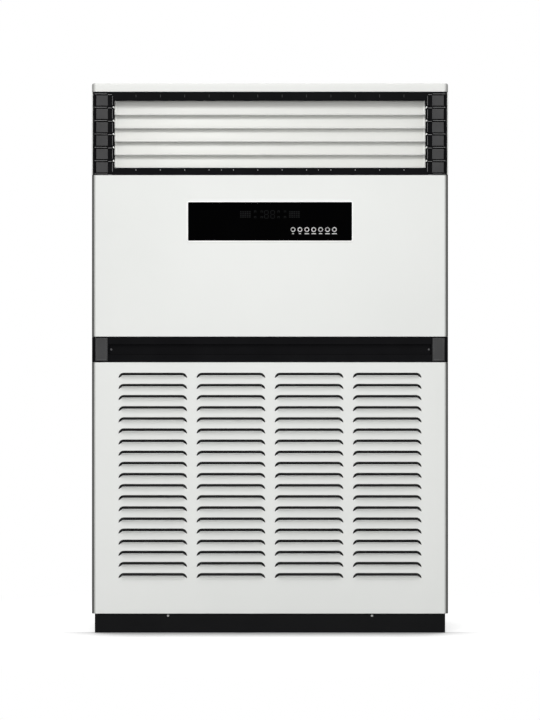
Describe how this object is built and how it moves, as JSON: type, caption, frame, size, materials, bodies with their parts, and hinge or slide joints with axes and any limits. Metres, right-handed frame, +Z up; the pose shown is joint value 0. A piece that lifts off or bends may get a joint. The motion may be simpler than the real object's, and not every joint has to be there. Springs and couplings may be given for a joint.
{
  "type": "floor standing air conditioner",
  "caption": "Tall cabinet air conditioner: linked tilting outlet blades, swinging vanes, push buttons, a pressed louvre intake, and blowers, coil and pipe ends inside.",
  "frame": {"origin": "on the floor, under the middle of the cabinet's box", "axes": "+Z up, the front looks along -Y, +X to the right as seen from the front"},
  "size_m": [1.2, 0.42, 1.85],
  "materials": {
    "casing_white": "satin powder coat",
    "plinth_black": "satin powder coat",
    "galvanised": "galvanised sheet",
    "black_plastic": "fine texture",
    "grey_plastic": "fine texture",
    "white_plastic": "satin",
    "lens_black": "high gloss",
    "button_silver": "satin plated",
    "housing_plastic": "matt",
    "liner_foam": "matt foam",
    "filter_mesh": "woven mesh",
    "grommet_rubber": "matt",
    "wheel_plastic": "matt",
    "shaft_steel": "turned",
    "motor_paint": "satin",
    "coil_aluminium": "bare fins",
    "pipe_copper": "drawn copper",
    "screw_black": "black"
  },
  "bodies": {
    "cabinet": {"base_frame": "plinth_black", "left_side_panel": "casing_white", "right_side_panel": "casing_white", "rear_panel": "galvanised", "service_panel": "galvanised", "cable_gland": "grommet_rubber", "top_cover": "casing_white", "upper_front_panel": "casing_white", "lower_front_panel": "casing_white", "middle_trim": "black_plastic", "trim_end_caps": "grey_plastic", "outlet_frame": "black_plastic", "side_tiles": "grey_plastic", "frame_studs": "white_plastic", "blade_bearings": "white_plastic", "vane_rails": "black_plastic", "swing_motor": "shaft_steel", "display_lens": "lens_black", "display_housing": "housing_plastic", "fan_deck": "galvanised", "outlet_liner": "liner_foam", "scroll_left": "galvanised", "scroll_right": "galvanised", "fan_motor": "motor_paint", "fan_platform": "galvanised", "motor_bracket": "galvanised", "control_box": "galvanised", "control_cover": "galvanised", "evaporator_fins": "coil_aluminium", "evaporator_end_plates": "galvanised", "gas_pipe": "pipe_copper", "liquid_pipe": "pipe_copper", "drain_pan": "white_plastic", "air_filters": "filter_mesh", "cabinet_screws": "screw_black"},
    "fan": {"fan_shaft": "shaft_steel", "blower_wheel_left": "wheel_plastic", "blower_wheel_right": "wheel_plastic"},
    "blade_1": {"louvre_blade_1": "white_plastic"},
    "blade_2": {"louvre_blade_2": "white_plastic"},
    "blade_3": {"louvre_blade_3": "white_plastic"},
    "blade_4": {"louvre_blade_4": "white_plastic"},
    "blade_5": {"louvre_blade_5": "white_plastic"},
    "blade_link": {"blade_link_bar": "black_plastic"},
    "vane_1": {"vane_1": "black_plastic"},
    "vane_2": {"vane_2": "black_plastic"},
    "vane_3": {"vane_3": "black_plastic"},
    "vane_4": {"vane_4": "black_plastic"},
    "vane_5": {"vane_5": "black_plastic"},
    "vane_6": {"vane_6": "black_plastic"},
    "vane_7": {"vane_7": "black_plastic"},
    "vane_link": {"vane_link_bar": "black_plastic"},
    "swing_crank": {"swing_crank": "white_plastic"},
    "button_1": {"button_1": "button_silver"},
    "button_2": {"button_2": "button_silver"},
    "button_3": {"button_3": "button_silver"},
    "button_4": {"button_4": "button_silver"},
    "button_5": {"button_5": "button_silver"},
    "button_6": {"button_6": "button_silver"},
    "button_7": {"button_7": "button_silver"}
  },
  "joints": [
    {"name": "fan_spin", "type": "hinge", "parent": "cabinet", "child": "fan", "pos_m": [0, 0.02002, 1.24], "axis": [1, 0, 0], "continuous": true},
    {"name": "blade_tilt_1", "type": "hinge", "parent": "cabinet", "child": "blade_1", "pos_m": [0, -0.175, 1.76875], "axis": [-1, 0, 0], "range_deg": [-10, 58]},
    {"name": "blade_tilt_2", "type": "hinge", "parent": "cabinet", "child": "blade_2", "pos_m": [0, -0.175, 1.72375], "axis": [-1, 0, 0], "range_deg": [-10, 58]},
    {"name": "blade_tilt_3", "type": "hinge", "parent": "cabinet", "child": "blade_3", "pos_m": [0, -0.175, 1.67875], "axis": [-1, 0, 0], "range_deg": [-10, 58]},
    {"name": "blade_tilt_4", "type": "hinge", "parent": "cabinet", "child": "blade_4", "pos_m": [0, -0.175, 1.63375], "axis": [-1, 0, 0], "range_deg": [-10, 58]},
    {"name": "blade_tilt_5", "type": "hinge", "parent": "cabinet", "child": "blade_5", "pos_m": [0, -0.175, 1.58875], "axis": [-1, 0, 0], "range_deg": [-10, 58]},
    {"name": "blade_link_turn", "type": "hinge", "parent": "blade_1", "child": "blade_link", "pos_m": [-0.222, -0.15412, 1.79375], "axis": [-1, 0, 0], "range_deg": [-58, 10]},
    {"name": "vane_swing_1", "type": "hinge", "parent": "cabinet", "child": "vane_1", "pos_m": [-0.444, -0.102, 1.67875], "axis": [0, 0, 1], "range_deg": [-40, 40]},
    {"name": "vane_swing_2", "type": "hinge", "parent": "cabinet", "child": "vane_2", "pos_m": [-0.296, -0.102, 1.67875], "axis": [0, 0, 1], "range_deg": [-40, 40]},
    {"name": "vane_swing_3", "type": "hinge", "parent": "cabinet", "child": "vane_3", "pos_m": [-0.148, -0.102, 1.67875], "axis": [0, 0, 1], "range_deg": [-40, 40]},
    {"name": "vane_swing_4", "type": "hinge", "parent": "cabinet", "child": "vane_4", "pos_m": [0, -0.102, 1.67875], "axis": [0, 0, 1], "range_deg": [-40, 40]},
    {"name": "vane_swing_5", "type": "hinge", "parent": "cabinet", "child": "vane_5", "pos_m": [0.148, -0.102, 1.67875], "axis": [0, 0, 1], "range_deg": [-40, 40]},
    {"name": "vane_swing_6", "type": "hinge", "parent": "cabinet", "child": "vane_6", "pos_m": [0.296, -0.102, 1.67875], "axis": [0, 0, 1], "range_deg": [-40, 40]},
    {"name": "vane_swing_7", "type": "hinge", "parent": "cabinet", "child": "vane_7", "pos_m": [0.444, -0.102, 1.67875], "axis": [0, 0, 1], "range_deg": [-40, 40]},
    {"name": "vane_link_turn", "type": "hinge", "parent": "vane_1", "child": "vane_link", "pos_m": [-0.444, -0.062, 1.5863], "axis": [0, 0, 1], "range_deg": [-40, 40]},
    {"name": "swing_crank_turn", "type": "hinge", "parent": "cabinet", "child": "swing_crank", "pos_m": [0.37, -0.102, 1.5886], "axis": [0, 0, 1], "range_deg": [-40, 40]},
    {"name": "button_press_1", "type": "slide", "parent": "cabinet", "child": "button_1", "axis": [0, 1, 0], "range_m": [0, 0.0008], "stiffness_N_per_m": 1500},
    {"name": "button_press_2", "type": "slide", "parent": "cabinet", "child": "button_2", "axis": [0, 1, 0], "range_m": [0, 0.0008], "stiffness_N_per_m": 1500},
    {"name": "button_press_3", "type": "slide", "parent": "cabinet", "child": "button_3", "axis": [0, 1, 0], "range_m": [0, 0.0008], "stiffness_N_per_m": 1500},
    {"name": "button_press_4", "type": "slide", "parent": "cabinet", "child": "button_4", "axis": [0, 1, 0], "range_m": [0, 0.0008], "stiffness_N_per_m": 1500},
    {"name": "button_press_5", "type": "slide", "parent": "cabinet", "child": "button_5", "axis": [0, 1, 0], "range_m": [0, 0.0008], "stiffness_N_per_m": 1500},
    {"name": "button_press_6", "type": "slide", "parent": "cabinet", "child": "button_6", "axis": [0, 1, 0], "range_m": [0, 0.0008], "stiffness_N_per_m": 1500},
    {"name": "button_press_7", "type": "slide", "parent": "cabinet", "child": "button_7", "axis": [0, 1, 0], "range_m": [0, 0.0008], "stiffness_N_per_m": 1500}
  ],
  "couplings": [
    {"joint": "blade_tilt_2", "follows": "blade_tilt_1", "ratio": 1},
    {"joint": "blade_tilt_3", "follows": "blade_tilt_1", "ratio": 1},
    {"joint": "blade_tilt_4", "follows": "blade_tilt_1", "ratio": 1},
    {"joint": "blade_tilt_5", "follows": "blade_tilt_1", "ratio": 1},
    {"joint": "blade_link_turn", "follows": "blade_tilt_1", "ratio": -1},
    {"joint": "vane_swing_2", "follows": "vane_swing_1", "ratio": 1},
    {"joint": "vane_swing_3", "follows": "vane_swing_1", "ratio": 1},
    {"joint": "vane_swing_4", "follows": "vane_swing_1", "ratio": 1},
    {"joint": "vane_swing_5", "follows": "vane_swing_1", "ratio": 1},
    {"joint": "vane_swing_6", "follows": "vane_swing_1", "ratio": 1},
    {"joint": "vane_swing_7", "follows": "vane_swing_1", "ratio": 1},
    {"joint": "vane_link_turn", "follows": "vane_swing_1", "ratio": -1},
    {"joint": "swing_crank_turn", "follows": "vane_swing_1", "ratio": 1}
  ]
}
